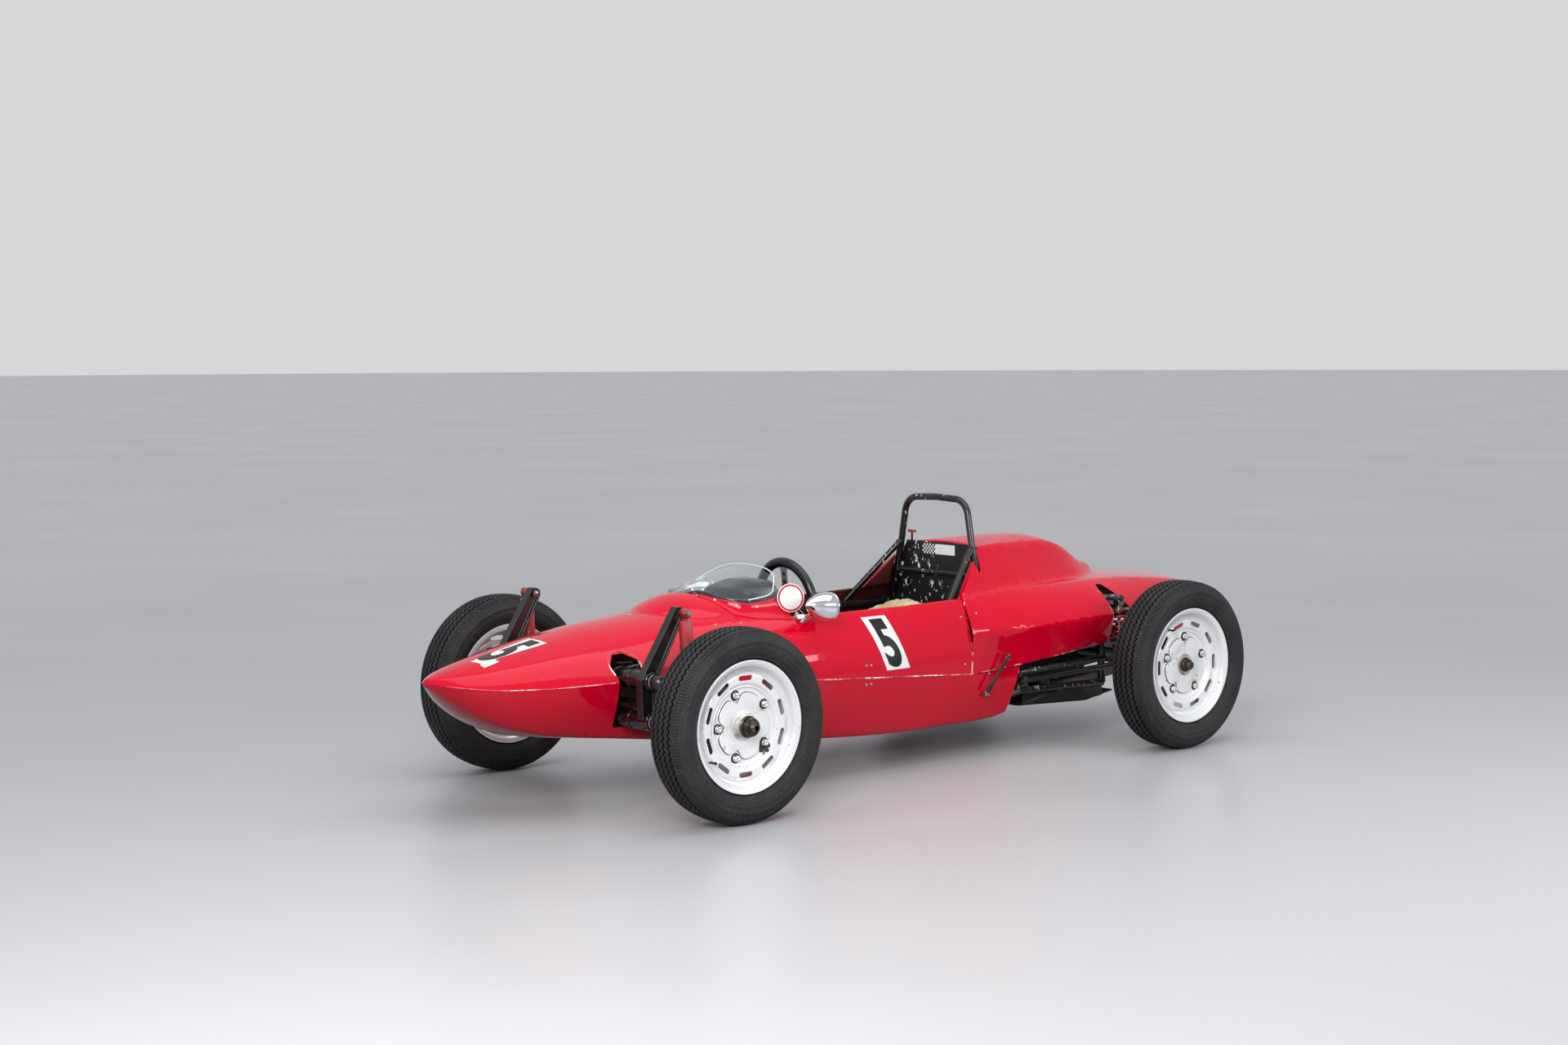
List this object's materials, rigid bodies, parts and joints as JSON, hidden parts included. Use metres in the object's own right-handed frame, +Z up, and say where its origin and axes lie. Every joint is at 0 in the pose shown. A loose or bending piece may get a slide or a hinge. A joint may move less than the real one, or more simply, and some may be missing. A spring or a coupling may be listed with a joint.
{
  "type": "open wheel racing car",
  "caption": "Single-seat open wheel racing car with a slim body, roll hoop, trailing arm front suspension, rear engine, treaded tyres on slotted steel wheels and working steering.",
  "frame": {"origin": "on the ground, midway between the axles and between the sides, which is also the middle of the length", "axes": "+X forward to the nose, +Y to the car's left, +Z up"},
  "size_m": [3.538, 1.466, 0.9261],
  "materials": {
    "body_red": "glossy laminate with small chips at the edges",
    "clear": "clear plastic sheet",
    "black_satin": "satin black",
    "padding": "tan padded cover",
    "frame_black": "black enamel",
    "handle_red": "red enamel",
    "shock_red": "red enamel",
    "castings": "grey castings",
    "exhaust_steel": "dull steel",
    "polished": "bright plate",
    "strap_rubber": "black rubber",
    "tyre_rubber": "black rubber",
    "wheel_silver": "silver",
    "drum_metal": "worn castings"
  },
  "bodies": {
    "chassis": {"axle_tube_left": "frame_black", "axle_tube_right": "frame_black", "chassis_frame": "frame_black", "coilover_left": "shock_red", "coilover_right": "shock_red", "engine": "castings", "engine_cover": "body_red", "exhaust": "exhaust_steel", "firewall_panel": "frame_black", "front_arms_left": "frame_black", "front_arms_right": "frame_black", "front_beam": "frame_black", "front_body_shell": "body_red", "front_shock_left": "shock_red", "front_shock_right": "shock_red", "hold_down_straps": "strap_rubber", "instrument_hood": "black_satin", "lower_tub": "body_red", "mirror_left": "polished", "mirror_right": "polished", "pull_knob": "handle_red", "radius_arms": "frame_black", "roll_hoop": "frame_black", "seat": "padding", "steering_box": "frame_black", "transaxle": "castings", "undertray": "black_satin", "windscreen": "clear"},
    "steering_wheel": {"steering_wheel": "black_satin", "steering_shaft": "frame_black"},
    "track_rods": {"tie_rods": "frame_black"},
    "knuckle_left": {"knuckle_left": "frame_black"},
    "knuckle_right": {"knuckle_right": "frame_black"},
    "wheel_front_left": {"tyre_front_left": "tyre_rubber", "rim_front_left": "wheel_silver", "drum_front_left": "drum_metal"},
    "wheel_front_right": {"tyre_front_right": "tyre_rubber", "rim_front_right": "wheel_silver", "drum_front_right": "drum_metal"},
    "wheel_rear_left": {"tyre_rear_left": "tyre_rubber", "rim_rear_left": "wheel_silver", "drum_rear_left": "drum_metal"},
    "wheel_rear_right": {"tyre_rear_right": "tyre_rubber", "rim_rear_right": "wheel_silver", "drum_rear_right": "drum_metal"}
  },
  "joints": [
    {"name": "steering", "type": "hinge", "parent": "chassis", "child": "steering_wheel", "pos_m": [0.293, 0, 0.578], "axis": [-0.9945, 0, 0.1045], "range_deg": [-250, 250]},
    {"name": "knuckle_left_swivel", "type": "hinge", "parent": "chassis", "child": "knuckle_left", "pos_m": [1.045, 0.545, 0.306], "axis": [0, 0, 1], "range_deg": [-25.2, 25.2]},
    {"name": "knuckle_right_swivel", "type": "hinge", "parent": "chassis", "child": "knuckle_right", "pos_m": [1.045, -0.545, 0.306], "axis": [0, 0, 1], "range_deg": [-25.2, 25.2]},
    {"name": "track_rods_slide", "type": "slide", "parent": "chassis", "child": "track_rods", "axis": [0, 1, 0], "range_m": [-0.051, 0.051]},
    {"name": "wheel_front_left_spin", "type": "hinge", "parent": "knuckle_left", "child": "wheel_front_left", "pos_m": [1.045, 0.645, 0.306], "axis": [0, 1, 0], "continuous": true},
    {"name": "wheel_front_right_spin", "type": "hinge", "parent": "knuckle_right", "child": "wheel_front_right", "pos_m": [1.045, -0.645, 0.306], "axis": [0, 1, 0], "continuous": true},
    {"name": "wheel_rear_left_spin", "type": "hinge", "parent": "chassis", "child": "wheel_rear_left", "pos_m": [-1.045, 0.635, 0.306], "axis": [0, 1, 0], "continuous": true},
    {"name": "wheel_rear_right_spin", "type": "hinge", "parent": "chassis", "child": "wheel_rear_right", "pos_m": [-1.045, -0.635, 0.306], "axis": [0, 1, 0], "continuous": true}
  ],
  "couplings": [
    {"joint": "knuckle_left_swivel", "follows": "steering", "ratio": 0.1},
    {"joint": "knuckle_right_swivel", "follows": "steering", "ratio": 0.1},
    {"joint": "track_rods_slide", "follows": "steering", "m_per_rad": 0.0112}
  ]
}
